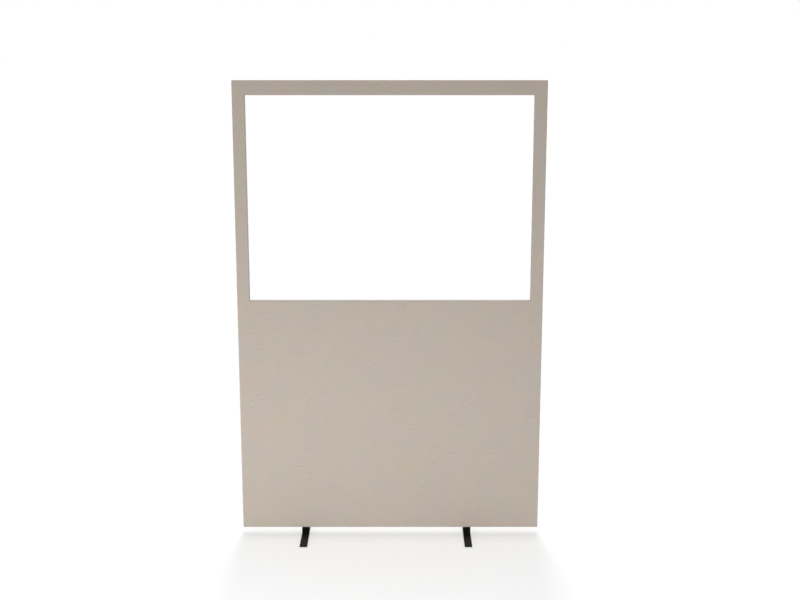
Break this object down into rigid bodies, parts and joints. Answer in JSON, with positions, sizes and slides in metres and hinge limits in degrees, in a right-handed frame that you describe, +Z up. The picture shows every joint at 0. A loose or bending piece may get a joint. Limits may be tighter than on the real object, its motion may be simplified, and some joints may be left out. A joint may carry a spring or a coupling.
{
  "type": "acoustic divider screen",
  "caption": "Free-standing fabric-covered acoustic divider screen with a clear window in its upper part, standing on short flat T feet.",
  "frame": {"origin": "on the floor, under the middle of the panel's width and thickness", "axes": "+Z up, +X along the panel to the right as seen from the front, -Y towards the front"},
  "size_m": [1.2, 0.3, 1.831],
  "materials": {
    "cover_fabric": "fine plain wool-mix weave, warm taupe melange",
    "clear_pane": "clear cast acrylic, polished",
    "glazing_channel": "translucent soft PVC",
    "edge_spline": "satin extruded PVC, toned to the fabric",
    "black_steel": "black fine-texture powder coat",
    "bolt_steel": "black oxide",
    "pin_steel": "ground steel",
    "insert_brass": "turned",
    "glide_rubber": "dense felt-faced rubber",
    "timber": "planed softwood",
    "dowel_beech": "plain beech",
    "absorber": "mineral wool batt",
    "felt": "needled polyester felt"
  },
  "bodies": {
    "root": {"stile_left": "timber", "stile_right": "timber", "top_rail": "timber", "middle_rail": "timber", "bottom_rail": "timber", "centre_stud": "timber", "frame_dowels": "dowel_beech", "acoustic_batt_left": "absorber", "acoustic_batt_right": "absorber", "wadding_front": "felt", "wadding_rear": "felt", "window_pane": "clear_pane", "glazing_channel_top": "glazing_channel", "glazing_channel_bottom": "glazing_channel", "glazing_channel_left": "glazing_channel", "glazing_channel_right": "glazing_channel", "fabric_cover_front": "cover_fabric", "fabric_cover_rear": "cover_fabric", "edge_spline_left": "edge_spline", "edge_spline_right": "edge_spline", "edge_spline_top": "edge_spline", "foot_bar_left": "black_steel", "foot_bar_right": "black_steel", "foot_block_left": "black_steel", "foot_block_right": "black_steel", "foot_bolts": "bolt_steel", "threaded_inserts": "insert_brass", "locating_pins": "pin_steel", "foot_glides": "glide_rubber"}
  },
  "joints": []
}
